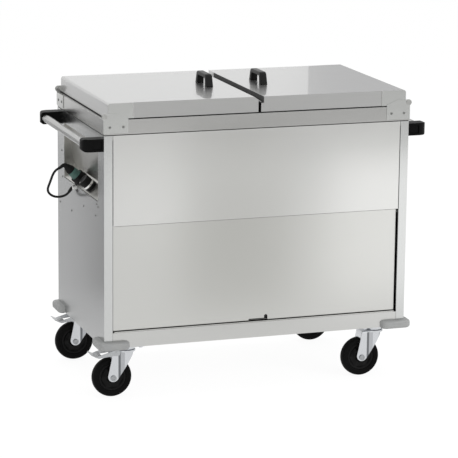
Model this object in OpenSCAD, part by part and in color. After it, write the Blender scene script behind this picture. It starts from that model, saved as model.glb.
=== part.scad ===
// Two-well heated serving trolley: folding lids, pocket door, control niche with parked plug,
// push handles on both ends, corner bumpers and four swivel castors, two of them braked.
// Origin on the floor under the middle of the cabinet, -Y is the front, sizes in mm.

/* [Cabinet] */
// Width over the end walls
cab_w = 990; // [825:5:1190]
// Depth over the front posts and the back panel
cab_d = 545; // [455:5:655]
// Height of the closed lids over the floor
cab_h = 925; // [775:5:1110]
// Height of the underside of the body
base_z = 165; // [150:1:200]
// Height of the front rail under the door
rail_h = 48; // [40:1:60]
// Width of the corner posts
post_w = 27; // [20:1:34]
// Sheet thickness
sheet = 1.5; // [1:0.1:2]
// Height of the raised frame round the wells
frame_h = 45; // [38:1:54]
// Groove between the body and the raised frame
groove = 2.5; // [1.5:0.5:4]
// Height of the fixed front panel
panel_h = 279.5; // [235:0.5:290]

/* [Wells] */
// Inside width of a well
well_w = 306; // [255:1:330]
// Inside length of a well
well_l = 510; // [425:1:520]
// Depth of a well under the deck
well_h = 198.5; // [150:0.5:205]
// Inside corner radius of a well
well_r = 22; // [15:1:30]
// Distance between the middles of the wells
well_pitch = 480; // [400:1:560]

/* [Lids] */
// Height of a lid, from skirt to top
lid_h = 47.5; // [40:0.5:56]
// Gap between the frame and the lid skirts
lid_gap = 3.5; // [2.5:0.5:5]
// Set-back of the lid ends from the end walls
lid_inset = 12; // [10:1:16]
// Diameter of the hinge pins
pin_d = 8; // [6:0.5:9]
// Length of a lid handle along the lid
grip_l = 114; // [95:1:136]
// Height of a lid handle
grip_h = 38; // [32:1:45]

/* [Door] */
// Set-back of the door from the front
door_set = 12; // [10:1:14]
// Thickness of the door
door_t = 14; // [12:1:17]
// Gap at each side of the door
door_gap = 4.5; // [3:0.5:6]
// Diameter of the door axle
axle_d = 6; // [5:0.5:7]

/* [Push handles] */
// How far the handles stand out
push_out = 65; // [55:1:78]
// Diameter of the push tubes
tube_d = 25; // [21:0.5:30]
// Depth of a handle bracket
bracket_y = 42; // [35:1:50]
// Height of a handle bracket
bracket_z = 39; // [33:1:46]

/* [Bumpers] */
// How far the bumpers stand out
bump_out = 20; // [16:1:24]
// Height of the bumpers
bump_h = 25; // [20:1:30]
// Length of a bumper arm from the corner
bump_arm = 80; // [66:1:96]

/* [Castors] */
// Diameter of the wheels
wheel_d = 125; // [104:1:132]
// Width of the tyres
tyre_w = 32; // [27:1:34]
// Trail, from swivel axis to wheel axle
trail = 46; // [38:1:48]
// Diameter of the wheel axles
wheel_axle_d = 12; // [10:0.5:14]

/* [Controls] */
// Diameter of the control knob
knob_d = 41; // [35:1:49]
// Diameter of the mains cord
cord_d = 7.5; // [6.5:0.5:9]

/* [Hidden] */
$fn = 48;
hw = cab_w/2;
hd = cab_d/2;
fit = 0.05;
play = 0.3;

// levels
lid_top = cab_h;
lid_low = lid_top - lid_h;
deck_z = lid_low - lid_gap;
frame_low = deck_z - frame_h;
seam_z = frame_low - groove;
collar_z = frame_low - 17;
panel_low = seam_z - panel_h;
rail_z = base_z + rail_h;
well_low = deck_z - sheet - well_h;
ceil_z = panel_low + 51;
floor_z = rail_z - 7;

// lids
hinge_x = hw - 2;
hinge_z = deck_z + 11.5;
lid_x = hw - lid_inset;
lid_y = hd - 2;
ear_t = 1.7;
split_l = 4;
split_r = 5;
ledge_x = 14;
slope_x = 18;
slope_drop = 15.5;
pan_z = lid_low + 3.5;
grip_x = 90;
grip_w = 20;

// door
door_x = hw - post_w - door_gap;
door_y = -hd + door_set;
door_low = rail_z + 4.5;
door_top = panel_low + 11;
axle_y = door_y + door_t/2;
axle_z = door_top - 22;
glide_d = 16;
glide_x = hw - post_w + 2.4;
glide_w = 6.2;
rail_x = glide_x - 0.4;
liner_x = rail_x + 8.5;

// push handles
push_x = hw + push_out - 15;
push_z = seam_z - 28;
cup_l = bracket_y - 22;

// castors
cast_x = hw - 83;
cast_y = hd - 50.5;
plate_t = 3;
wheel_z = wheel_d/2;
hub_r = wheel_z - 19.5;
hub_w = tyre_w + 8;
leg_in = hub_w/2 + 1.5;
leg_t = 3;
leg_y = leg_in + leg_t;
fork_top = base_z - plate_t - 13.5;
crown_t = 6.5;
pedal_x = -trail + 11;
pedal_z = fork_top - 5.5;
leg_f = -trail + 16;

// control niche in the left end wall
niche_y0 = -206*hd/272.5;
niche_y1 = 193*hd/272.5;
niche_z1 = seam_z - 38.5;
niche_z0 = niche_z1 - 176;
wall_x = -hw + sheet;
crease = [-hw + 35.5, niche_z0 + 38];
slope = atan2(38, 35.5);
panel_mid = (crease + [-hw, niche_z0])/2;
knob_y = -70;
plug_y = 58;
plug_r = 19.2;
socket_h = 20;
plug_h = [3, 46, 70];
tail_l = 22;
gland = [-hw, 70, niche_z0 - 9];
boot_l = 22;
nut_h = 7;

// ---- helpers ----

function unit(v) = v/norm(v);

// arc that rounds corner p1 of the path p0, p1, p2
function corner(p0, p1, p2, r, n = 6) = r <= 0 ? [p1] :
  let (a = unit(p0 - p1), b = unit(p2 - p1), half = acos(a*b)/2)
  let (d = r/tan(half), c = p1 + unit(a + b)*r/sin(half), s = p1 + a*d, e = p1 + b*d)
  let (a0 = atan2(s.y - c.y, s.x - c.x), a1 = atan2(e.y - c.y, e.x - c.x))
  let (da = ((a1 - a0 + 540)%360) - 180)
  [for (i = [0:n]) c + r*[cos(a0 + da*i/n), sin(a0 + da*i/n)]];

// closed outline p with a radius for each corner
function rounded(p, r, n = 6) = [
  for (i = [0:len(p) - 1])
    each corner(p[(i + len(p) - 1)%len(p)], p[i], p[(i + 1)%len(p)], is_list(r) ? r[i] : r, n)
];

function left_of(a, b) = let (u = unit(b - a)) [-u.y, u.x];
function miter(p, i, t) =
  i == 0 ? p[0] + t*left_of(p[0], p[1]) :
  i == len(p) - 1 ? p[i] + t*left_of(p[i - 1], p[i]) :
  let (m = left_of(p[i - 1], p[i]), n = left_of(p[i], p[i + 1]))
  p[i] + t*(m + n)/(1 + m*n);

// folded sheet of thickness t to the left of path p, or to its right if t < 0
function folded(p, t) = [each p, for (i = [len(p) - 1:-1:0]) miter(p, i, t)];

module box(a, b) {
  translate(a)
    cube(b - a);
}

// outline in XZ from y0 to y1
module along_y(p, y0, y1) {
  translate([0, y1, 0])
    rotate([90, 0, 0])
      linear_extrude(y1 - y0)
        polygon(p);
}

// outline in YZ from x0 to x1
module along_x(p, x0, x1) {
  translate([x0, 0, 0])
    rotate([90, 0, 90])
      linear_extrude(x1 - x0)
        polygon(p);
}

module rod_x(r, x0, x1) {
  translate([x0, 0, 0])
    rotate([0, 90, 0])
      cylinder(r = r, h = x1 - x0);
}

module rod_y(r, y0, y1) {
  translate([0, y1, 0])
    rotate([90, 0, 0])
      cylinder(r = r, h = y1 - y0);
}

module rod_z(r, z0, z1) {
  translate([0, 0, z0])
    cylinder(r = r, h = z1 - z0);
}

// rectangle with true round corners
module soft_rect(w, l, r) {
  square([w - 2*r, l], center = true);
  square([w, l - 2*r], center = true);
  for (x = [-1, 1], y = [-1, 1])
    translate([x*(w/2 - r), y*(l/2 - r)])
      circle(r);
}

module soft_block(w, l, r, z0, z1) {
  translate([0, 0, z0])
    linear_extrude(z1 - z0)
      soft_rect(w, l, r);
}

module both_x() {
  children();
  mirror([1, 0, 0])
    children();
}

module both_y() {
  children();
  mirror([0, 1, 0])
    children();
}

module four() {
  both_x()
    both_y()
      children();
}

// turns local Z to the direction d
module aimed(d) {
  rotate([0, acos(d.z), atan2(d.y, d.x)])
    children();
}

// local Z is the outward normal of the sloping control panel
module on_panel(y) {
  translate([panel_mid.x, y, panel_mid.y])
    rotate([0, -slope, 0])
      children();
}

// ---- body ----

// end wall, front and rear posts and their inner returns, one folded sheet
module end_sheet() {
  x0 = hw - post_w;
  path = [
    [-x0, -hd + 15], [-x0, -hd], [-hw, -hd], [-hw, hd], [-x0, hd], [-x0, hd - 15]
  ];
  difference() {
    translate([0, 0, base_z])
      linear_extrude(seam_z - base_z)
        polygon(folded(path, -sheet));
    // the returns stop under the collar of the raised frame
    both_y()
      box([-x0 - 3, hd - 16, collar_z - play], [-x0 + 1, hd - sheet, seam_z + 1]);
  }
}

module end_panel_left() color("silver")
  difference() {
    end_sheet();
    box([-hw - 1, niche_y0, niche_z0], [wall_x + 1, niche_y1, niche_z1]);
    translate([0, gland.y, gland.z])
      rod_x(6.2, -hw - 1, wall_x + 1);
  }

module end_panel_right() color("silver")
  mirror([1, 0, 0])
    end_sheet();

module base_pan() color("silver") {
  x0 = hw - post_w - 0.4;
  // bottom with slots for the post returns
  difference() {
    box([-hw + sheet + play, -hd + sheet + play, base_z],
        [hw - sheet - play, hd - sheet - play, base_z + sheet]);
    four()
      box([x0, hd - 15.5, base_z - 1], [x0 + sheet + 0.8, hd, base_z + 5]);
  }
  // front rail with its return and lip
  rail = [
    [-hd, base_z], [-hd, rail_z], [-hd + 14, rail_z], [-hd + 14, rail_z - 15]
  ];
  along_x(folded(rail, -sheet), -x0, x0);
  box([-x0, -hd, base_z], [x0, -hd + 3, base_z + sheet]);
  // rear and side upstands
  box([-x0, hd - 2*sheet - play, base_z], [x0, hd - sheet - play, rail_z]);
  both_x()
    box([hw - 2*sheet - play, -hd + 18, base_z], [hw - sheet - play, hd - 18, base_z + 25]);
}

module back_panel() color("silver") {
  x0 = hw - post_w - 0.6;
  box([-x0, hd - sheet, base_z], [x0, hd, seam_z]);
}

module front_panel() color("silver") {
  x0 = hw - post_w - 2;
  difference() {
    box([-x0, -hd, panel_low], [x0, -hd + 10, seam_z]);
    box([-x0 + sheet, -hd + sheet, panel_low + sheet], [x0 - sheet, -hd + 11, seam_z + 1]);
    box([-x0 - 1, -hd + sheet, collar_z - play], [x0 + 1, -hd + 11, seam_z + 1]);
  }
}

// one pressing: raised frame, deck with two cut-outs, step and collar inside the body
module top_frame() color("gainsboro") {
  c = sheet + play;
  difference() {
    box([-hw, -hd, frame_low], [hw, hd, deck_z]);
    box([-hw + sheet, -hd + sheet, frame_low - 1], [hw - sheet, hd - sheet, deck_z - sheet]);
    for (s = [-1, 1])
      translate([s*well_pitch/2, 0, 0])
        soft_block(well_w + 2, well_l + 2, well_r - 2, deck_z - 5, deck_z + 5);
  }
  difference() {
    union() {
      box([-hw, -hd, frame_low], [hw, hd, frame_low + sheet]);
      box([-hw + c, -hd + c, collar_z], [hw - c, hd - c, frame_low + sheet]);
    }
    box([-hw + c + sheet, -hd + c + sheet, collar_z - 1],
        [hw - c - sheet, hd - c - sheet, frame_low + 5]);
  }
}

module well(s) {
  t = 1.2;
  top = deck_z - sheet;
  translate([s*well_pitch/2, 0, 0])
    difference() {
      union() {
        soft_block(well_w + 2*t, well_l + 2*t, well_r + t, well_low, top);
        soft_block(well_w + 2*t + 16, well_l + 2*t + 12, well_r + t + 4, top - t, top);
      }
      soft_block(well_w, well_l, well_r, well_low + t, top + 1);
    }
}

module well_left() color("lightgray")
  well(-1);

module well_right() color("lightgray")
  well(1);

// a serpentine heating rod under each well
module heaters() color("dimgray") {
  r = 4;
  step = (well_w - 96)/3;
  run = well_l/2 - 60;
  for (s = [-1, 1])
    translate([s*well_pitch/2, 0, well_low - r - play]) {
      for (i = [0:3])
        translate([(i - 1.5)*step, 0, 0])
          rod_y(r, i == 0 ? -run - 20 : -run, i == 3 ? run : run);
      for (i = [0:2])
        translate([(i - 1)*step, i%2 == 0 ? run : -run, 0])
          rotate([0, 0, i%2 == 0 ? 0 : 180])
            rotate_extrude(angle = 180)
              translate([step/2, 0])
                circle(r);
    }
}

// ---- cupboard ----

module cupboard_ceiling() color("lightgray")
  box([-liner_x - sheet, -hd + 15.5, ceil_z], [liner_x + sheet, hd - 16, ceil_z + sheet]);

module cupboard_floor() color("lightgray") {
  x = liner_x - play;
  box([-x, -hd + 16.5, floor_z - sheet], [x, hd - 16 - sheet - play, floor_z]);
  box([-door_x, -hd + 14 + fit, floor_z - sheet], [door_x, -hd + 20, floor_z]);
}

module cupboard_liner() color("lightgray") {
  z0 = floor_z - sheet;
  y1 = hd - 16;
  path = [[-liner_x, -hd + 16.5], [-liner_x, y1 - sheet], [liner_x, y1 - sheet], [liner_x, -hd + 16.5]];
  translate([0, 0, z0])
    linear_extrude(ceil_z - z0)
      polygon(folded(path, sheet));
}

// channels in which the door glides run back
module door_rails() color("gray")
  both_x()
    translate([0, 0, axle_z]) {
      h = glide_d/2 + play;
      y0 = axle_y - glide_d/2 - 1 - sheet;
      y1 = hd - 18.5;
      path = [[rail_x, -h], [liner_x - sheet, -h], [liner_x - sheet, h], [rail_x, h]];
      along_y(folded(path, -sheet), y0, y1);
      box([rail_x, y0, -h - sheet], [liner_x, y0 + sheet, h + sheet]);
      box([rail_x, y1 - sheet, -h - sheet], [liner_x, y1, h + sheet]);
    }

// ---- door ----

module door_axle() color("gray")
  translate([0, axle_y, axle_z])
    rod_x(axle_d/2, -glide_x - glide_w, glide_x + glide_w);

module door_glides() color("whitesmoke")
  both_x()
    translate([0, axle_y, axle_z])
      difference() {
        rod_x(glide_d/2, glide_x, glide_x + glide_w);
        rod_x(axle_d/2 + fit, glide_x - 1, glide_x + glide_w + 1);
      }

module door_panel() color("lightgray")
  difference() {
    box([-door_x, door_y, door_low], [door_x, door_y + door_t, door_top]);
    box([-door_x + sheet, door_y + sheet, door_low + sheet],
        [door_x - sheet, door_y + door_t + 1, door_top - sheet]);
    translate([0, axle_y, axle_z])
      rod_x(axle_d/2 + fit, -door_x - 1, door_x + 1);
    // finger notch in the lower edge, with a round-topped slot at its right end
    box([-24, door_y - 1, door_low - 1], [38, door_y + 6, door_low + 5]);
    translate([32.5, 0, door_low + 10.5])
      rod_y(5.5, door_y - 1, door_y + 6);
    box([27, door_y - 1, door_low - 1], [38, door_y + 6, door_low + 10.5]);
  }

// inner skin that closes the door from behind
module door_liner() color("gainsboro") {
  y1 = door_y + door_t;
  c = sheet + 0.2;
  box([-door_x + c, y1 - sheet, door_low + c], [door_x - c, y1, door_top - c]);
}

// ---- lids ----

// outer line of the lid section in XZ, left lid
function left_line() = [
  [-lid_x, lid_low], each corner([-lid_x, lid_low], [-lid_x, lid_top], [0, lid_top], 8),
  [-slope_x, lid_top], [split_r - 0.5, lid_top - slope_drop]
];

function right_line() = [
  [split_r, lid_low], [split_r, lid_top - 20], [ledge_x, lid_top - 20], [ledge_x, lid_top],
  each corner([0, lid_top], [lid_x, lid_top], [lid_x, lid_low], 8), [lid_x, lid_low]
];

module lid_shell_left() color("silver") {
  p = left_line();
  n = len(p);
  fall = (slope_x - split_l)*slope_drop/(slope_x + split_r - 0.5);
  side = [for (i = [0:n - 2]) p[i], [-split_l, lid_top - fall], [-split_l, lid_low]];
  along_y(folded(p, -sheet), -lid_y, lid_y);
  both_y()
    along_y(side, lid_y - sheet, lid_y);
  box([-split_l - sheet, -lid_y, lid_low], [-split_l, lid_y, lid_top - fall - 0.8]);
}

module lid_shell_right() color("silver") {
  along_y(folded(right_line(), -sheet), -lid_y, lid_y);
  both_y()
    along_y(right_line(), lid_y - sheet, lid_y);
}

// dished inner skin of a lid, between x0 and x1
module lid_pan(x0, x1) {
  t = 1.2;
  y = lid_y - sheet;
  difference() {
    box([x0, -y, pan_z], [x1, y, pan_z + 13]);
    box([x0 + t, -y + t, pan_z + t], [x1 - t, y - t, pan_z + 14]);
  }
}

module lid_inner_left() color("gainsboro")
  lid_pan(-lid_x + sheet, -split_l - sheet);

module lid_inner_right() color("gainsboro")
  lid_pan(split_r + sheet, lid_x - sheet);

// corner plates of a lid that carry it on the hinge pins
module lid_ears() {
  plate = rounded([
    [-lid_x + 81, lid_low], [-lid_x + 81, lid_top], [-lid_x, lid_top], [-lid_x, lid_low]
  ], [0, 0, 8, 0]);
  both_y()
    difference() {
      union() {
        along_y(plate, lid_y, lid_y + ear_t);
        translate([-hinge_x, 0, hinge_z])
          rod_y(8.5, lid_y, lid_y + ear_t);
        box([-hinge_x, lid_y, hinge_z - 8], [-lid_x + 1, lid_y + ear_t, hinge_z + 8.5]);
      }
      translate([-hinge_x, 0, hinge_z])
        rod_y(pin_d/2 + fit, lid_y - 1, lid_y + ear_t + 1);
    }
}

module lid_ears_left() color("lightgray")
  lid_ears();

module lid_ears_right() color("lightgray")
  mirror([1, 0, 0])
    lid_ears();

module lid_grip() {
  b = grip_l/2;
  outer = rounded([[-b, 0], [-b + 10, grip_h], [b - 10, grip_h], [b, 0]], [0, 12, 12, 0], 8);
  inner = rounded([[-b + 18, -1], [-b + 23, grip_h - 13], [b - 23, grip_h - 13], [b - 18, -1]],
                  [0, 8, 8, 0]);
  bar = rounded([
    [-grip_w/2, 0], [-grip_w/2 + 1, grip_h], [grip_w/2 - 1, grip_h], [grip_w/2, 0]
  ], [0, 6, 6, 0]);
  translate([0, 0, lid_top])
    intersection() {
      difference() {
        along_x(outer, -grip_w/2, grip_w/2);
        along_x(inner, -grip_w, grip_w);
      }
      along_y(bar, -b - 1, b + 1);
    }
}

module lid_handle_left() color("black")
  translate([-grip_x, 0, 0])
    lid_grip();

module lid_handle_right() color("black")
  translate([grip_x, 0, 0])
    lid_grip();

// rubber strip on the deck under the lid skirts, with a bar under the split
module lid_seal() color("black") {
  x = lid_x - 1;
  y = lid_y - 1;
  difference() {
    box([-x, -y, deck_z], [x, y, lid_low - play]);
    both_x()
      box([8, -y + 3.5, deck_z - 1], [x - 8, y - 3.5, lid_low]);
  }
}

// fixed plates that hold the pins; the rear ones fold round onto the end walls
module hinge_plates() color("lightgray") {
  t = 2;
  plate = [
    [hw - 76, deck_z - 40], [hw - 76, deck_z + 6], [hw - 43, hinge_z + 9.5],
    [hinge_x, hinge_z + 9.5], [hw + t, hinge_z], [hw + t, deck_z - 40]
  ];
  four()
    difference() {
      union() {
        along_y(plate, hd, hd + t);
        translate([hinge_x, 0, hinge_z])
          rod_y(9.5, hd, hd + t);
      }
      translate([hinge_x, 0, hinge_z])
        rod_y(pin_d/2 + fit, hd - 1, hd + t + 1);
    }
  both_x()
    box([hw, hd - 75, deck_z - 40], [hw + t, hd + t, deck_z]);
}

module hinge_pins() color("gainsboro")
  four()
    translate([hinge_x, 0, hinge_z]) {
      rod_y(pin_d/2, lid_y - 2.5, hd + 2);
      rod_y(8, hd + 2, hd + 5);
      rod_y(6, lid_y - 2.5, lid_y - play);
    }

// ---- end fittings ----

module handle_brackets() color("black") {
  x0 = hw;
  x1 = hw + push_out;
  r = min(30, bracket_y - 6);
  plan = rounded([[x0, -hd], [x1, -hd], [x1, -hd + bracket_y], [x0, -hd + bracket_y]], [0, r, 3, 0], 10);
  z0 = push_z - bracket_z/2;
  z1 = push_z + bracket_z/2;
  face = rounded([[x0, z0], [x1, z0], [x1, z1], [x0, z1]], [0, 10, 10, 0], 8);
  four()
    difference() {
      intersection() {
        translate([0, 0, z0])
          linear_extrude(z1 - z0)
            polygon(plan);
        along_y(face, -hd - 1, -hd + bracket_y + 1);
      }
      // blind cup for the tube and the shallow panel in the outer face
      translate([push_x, 0, push_z])
        rod_y(tube_d/2 + 0.1, -hd + bracket_y - cup_l, -hd + bracket_y + 1);
      along_y(rounded([[x0 + 5, z0 + 6], [x0 + 36, z0 + 6], [x0 + 36, z1 - 6], [x0 + 5, z1 - 6]], 4),
              -hd - 1, -hd + 4);
    }
}

module handle_tubes() color("gainsboro")
  both_x()
    translate([push_x, 0, push_z])
      difference() {
        l = hd - bracket_y + cup_l - 0.5;
        rod_y(tube_d/2, -l, l);
        rod_y(tube_d/2 - sheet, -l - 1, l + 1);
      }

// moulded corner guards, an arm along each wall
module corner_bumpers() color("darkgray") {
  z0 = base_z - 4;
  r = min(8, bump_out/2);
  part = rounded([[0, 0], [bump_out, 0], [bump_out, bump_h], [0, bump_h]], [0, r, r, 0], 8);
  arm = bump_arm - bump_out;
  four()
    translate([hw, hd, z0]) {
      rotate_extrude(angle = 90)
        polygon(part);
      translate([0, -arm, 0]) {
        rotate([90, 0, 0])
          mirror([0, 0, 1])
            linear_extrude(arm)
              polygon(part);
        rotate([0, 0, -90])
          rotate_extrude(angle = 90)
            polygon(part);
      }
      translate([-arm, 0, 0]) {
        rotate([90, 0, 90])
          linear_extrude(arm)
            polygon(part);
        rotate([0, 0, 90])
          rotate_extrude(angle = 90)
            polygon(part);
      }
    }
}

// left end: y, z of the fixing screws under and beside the niche
wall_screws = [[220, -132], [211, -216], [-190, -224], [244, -305], [102, -305], [-40, -261],
               [-180, -262], [-204, -231]];
plain_screws = [[220, -305], [75, -305], [-75, -305], [-220, -305], [220, -120], [-220, -120]];

module screw(r = 3.5, h = 1.4)
  rotate([0, 90, 0])
    cylinder(r1 = r, r2 = r - 0.8, h = h, $fn = 24);

module screws() color("gray") {
  four()
    for (x = [18, 60])
      translate([hw - x, hd + 2, deck_z - 21.5])
        rotate([0, 0, 90])
          screw(4, 1.6);
  both_x()
    for (y = [20, 58])
      translate([hw + 2, hd - y, deck_z - 21.5])
        screw(4, 1.6);
  for (p = wall_screws)
    translate([-hw, p.x*hd/272.5, seam_z + p.y])
      mirror([1, 0, 0])
        screw();
  for (p = plain_screws)
    translate([hw, p.x*hd/272.5, seam_z + p.y])
      screw();
}

// ---- control niche ----

// pressed pan: short top return, mirror-bright upper face and sloping control panel
module niche_pan() color("lightgray") {
  low = [wall_x, niche_z0 + sheet*38/35.5];
  line = [[wall_x, niche_z1], [-hw + 11, niche_z1], crease, low];
  skin = folded(line, sheet);
  side = [line[0], skin[7], skin[6], skin[5], skin[4], low];
  difference() {
    union() {
      along_y(skin, niche_y0, niche_y1);
      along_y(side, niche_y0 - sheet, niche_y0);
      along_y(side, niche_y1, niche_y1 + sheet);
    }
    on_panel(knob_y)
      rod_z(5, -5, 5);
    on_panel(plug_y)
      rod_z(plug_r + 1, -5, 5);
  }
}

module thermostat() color("dimgray")
  on_panel(knob_y)
    difference() {
      union() {
        rod_z(16, -sheet - 22, -sheet - fit);
        rod_z(4.8, -sheet - 1, -0.2);
      }
      rod_z(3 + fit, -14, 1);
    }

// moulded dummy socket that parks the plug
module parking_socket() color("black")
  on_panel(plug_y)
    difference() {
      union() {
        rod_z(plug_r + 4.8, 0, 4);
        rod_z(plug_r + 3.3, 3, socket_h);
        rod_z(plug_r + 0.8, -18, 1);
      }
      rod_z(plug_r + play, plug_h[0], socket_h + 1);
    }

// wide inside the socket, narrower where it is held
module plug() color("#4f6f68")
  on_panel(plug_y)
    rotate_extrude()
      polygon([
        [0, plug_h[0]], [plug_r, plug_h[0]], [plug_r, socket_h - 3], [plug_r - 2, socket_h],
        [plug_r - 2, plug_h[1] - 3], [plug_r - 4, plug_h[1]], [0, plug_h[1]]
      ]);

// grip of the plug with a tapered tail that bends away to the cord
module plug_grip() color("black") {
  on_panel(plug_y)
    rotate_extrude()
      polygon([
        [0, plug_h[1]], [plug_r - 4.2, plug_h[1]], [plug_r - 4.2, plug_h[1] + 5],
        [plug_r - 7, plug_h[1] + 10], [9, plug_h[2] - 6], [7.5, plug_h[2]], [0, plug_h[2]]
      ]);
  translate(tail_0) {
    sphere(7.2);
    aimed(tail_dir)
      cylinder(r1 = 6.6, r2 = cord_d/2 + 0.9, h = tail_l);
  }
}

knob_h = [0.4, 11, 18, 38];
knob_r = knob_d/2;

module knob() color("black")
  on_panel(knob_y) {
    rod_z(3, -12, knob_h[0] + 1);
    rod_z(knob_r - 1, knob_h[0], knob_h[1]);
    rod_z(knob_r - 4 - fit, knob_h[1] - 1, knob_h[2] + 1);
    difference() {
      union() {
        rod_z(knob_r - 2, knob_h[2], knob_h[3] - 2);
        translate([0, 0, knob_h[3] - 2])
          cylinder(r1 = knob_r - 2, r2 = knob_r - 4, h = 2);
      }
      for (i = [0:17])
        rotate([0, 0, i*20])
          translate([knob_r - 1, 0, knob_h[2] + 2])
            cylinder(r = 2, h = knob_h[3], $fn = 16);
    }
  }

module knob_ring() color("gainsboro")
  on_panel(knob_y)
    difference() {
      rod_z(knob_r, knob_h[1] + fit, knob_h[2] - fit);
      rod_z(knob_r - 4, knob_h[1] - 1, knob_h[2] + 1);
    }

// ---- mains cord ----

boot_dir = unit([-0.3, 0.6, -0.74]);
boot_0 = gland + [-nut_h, 0, 0];
boot_1 = boot_0 + boot_dir*boot_l;
tail_dir = unit([-0.88, 0.1, -0.47]);
tail_0 = [panel_mid.x, plug_y, panel_mid.y] + plug_h[2]*[-sin(slope), 0, cos(slope)];
tail_1 = tail_0 + tail_dir*tail_l;
origin = [-hw, 0, niche_z0];

// points that steer the loop, from the tail to the boot, measured from the niche's lower edge
steer = [[-72, 61, 40], [-79, 67, 11], [-85, 95, -21], [-61, 106, -44], [-33, 102, -45]];
loop = [
  tail_1 - tail_dir*9, tail_1, tail_1 + tail_dir*9,
  for (p = steer) origin + p,
  boot_1 + boot_dir*12, boot_1, boot_1 - boot_dir*12
];
per = 4;
runs = len(loop) - 3;

function blend(q, i, t) =
  ((1 - t)^3*q[i] + (3*t^3 - 6*t^2 + 4)*q[i + 1] + (-3*t^3 + 3*t^2 + 3*t + 1)*q[i + 2] + t^3*q[i + 3])/6;
function slope_of(q, i, t) =
  (-(1 - t)^2*q[i] + (3*t^2 - 4*t)*q[i + 1] + (-3*t^2 + 2*t + 1)*q[i + 2] + t^2*q[i + 3])/2;

steps = [for (k = [0:runs*per]) let (i = min(floor(k/per), runs - 1)) [i, k/per - i]];
route = [for (s = steps) blend(loop, s[0], s[1])];
heading = [for (s = steps) unit(slope_of(loop, s[0], s[1]))];

// tube of n sides swept along the points
module tube(pts, dirs, r, n) {
  ref = unit([0.6, 0.75, 0.3]);
  m = len(pts);
  rings = [
    for (i = [0:m - 1])
      let (u = unit(cross(ref, dirs[i])), v = cross(dirs[i], u))
      for (k = [0:n - 1]) pts[i] + r*(cos(360*k/n)*u + sin(360*k/n)*v)
  ];
  skin = [
    for (i = [0:m - 2], k = [0:n - 1])
      let (a = i*n + k, b = i*n + (k + 1)%n)
      each [[a, a + n, b], [b, a + n, b + n]]
  ];
  caps = [
    for (k = [1:n - 2]) each [[0, k, k + 1], [(m - 1)*n, (m - 1)*n + k + 1, (m - 1)*n + k]]
  ];
  polyhedron(points = rings, faces = concat(skin, caps));
}

module cord() color("black")
  tube(route, heading, cord_d/2, 10);

// brass-bright gland with its locknut inside the wall and a bent boot
module cord_gland() color("gainsboro") {
  translate(gland) {
    rod_x(8, -nut_h, 0);
    rod_x(6, -0.5, sheet + 1);
    rod_x(8, sheet + fit, sheet + 5);
  }
  translate(boot_0) {
    sphere(6.5);
    aimed(boot_dir)
      cylinder(r1 = 6, r2 = cord_d/2 + 0.8, h = boot_l);
  }
}

// ---- castors ----

module at_castor(x, y)
  translate([x*cast_x, y*cast_y, 0])
    children();

// nutted kingpin that hangs the fork from its plate
module kingpin() {
  low = fork_top - crown_t - 9;
  rod_z(6, low, base_z - plate_t - fit);
  translate([0, 0, low])
    cylinder(r = 10, h = 8.7, $fn = 6);
}

// top plates bolted under the body, with the fixed half of the swivel race and the kingpin
module castor_plates() color("gainsboro")
  for (x = [-1, 1], y = [-1, 1])
    at_castor(x, y) {
      kingpin();
      soft_block(105, 85, 6, base_z - plate_t, base_z);
      difference() {
        translate([0, 0, fork_top + 0.5])
          cylinder(r1 = 27, r2 = 34, h = base_z - plate_t - fork_top - 0.5);
        rod_z(6 + fit, fork_top, base_z - plate_t);
      }
      for (px = [-1, 1], py = [-1, 1])
        translate([px*40, py*30, base_z - plate_t - 5])
          cylinder(r = 6.5, h = 5, $fn = 6);
    }

// pressed fork: round crown, two legs and a nose that the front cut slopes away
module castor_fork() {
  nose = [for (i = [0:20]) [leg_f + 54*sin(9*i), leg_y*cos(9*i)]];
  hole = [for (i = [0:20]) [leg_f + (54 - leg_t)*sin(9*i), leg_in*cos(9*i)]];
  back = -trail - 20;
  z0 = wheel_z - 20;
  foot_z = wheel_z + 5;
  side = [
    [-trail - 16.5, foot_z + 4], [-trail, fork_top], [24, fork_top], [24, fork_top - 12],
    [leg_f + 1, foot_z - 6], [-trail, foot_z - 16]
  ];
  difference() {
    union() {
      intersection() {
        translate([0, 0, z0])
          linear_extrude(fork_top - z0)
            polygon([[back, leg_y], each nose, [back, -leg_y]]);
        union() {
          along_y(side, -leg_y - 1, leg_y + 1);
          translate([-trail, 0, foot_z])
            rod_y(17, -leg_y - 1, leg_y + 1);
        }
      }
      rod_z(30, fork_top - crown_t, fork_top);
    }
    translate([0, 0, z0 - 1])
      linear_extrude(fork_top - crown_t - z0 + 1)
        polygon([[back - 1, leg_in], each hole, [back - 1, -leg_in]]);
    rod_z(6 + fit, fork_top - crown_t - 1, fork_top + 1);
    translate([-trail, 0, wheel_z])
      rod_y(wheel_axle_d/2 + fit, -leg_y - 1, leg_y + 1);
    translate([pedal_x, 0, pedal_z])
      rod_y(3 + fit, -leg_y - 1, leg_y + 1);
  }
}

module castor_axle()
  translate([-trail, 0, wheel_z]) {
    rod_y(wheel_axle_d/2, -leg_y - fit, leg_y + fit);
    both_y()
      difference() {
        rod_y(9, leg_y + fit, leg_y + 3.5);
        rod_y(4, leg_y + 2, leg_y + 4);
      }
  }

module castor_tyre() {
  w = tyre_w/2;
  translate([-trail, 0, wheel_z])
    rotate([90, 0, 0])
      rotate_extrude($fn = 96)
        polygon(rounded([
          [hub_r + fit, -w + 3], [wheel_z - 9, -w], [wheel_z, -w], [wheel_z, w],
          [wheel_z - 9, w], [hub_r + fit, w - 3]
        ], [0, 4, 9, 9, 4, 0]));
}

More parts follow.
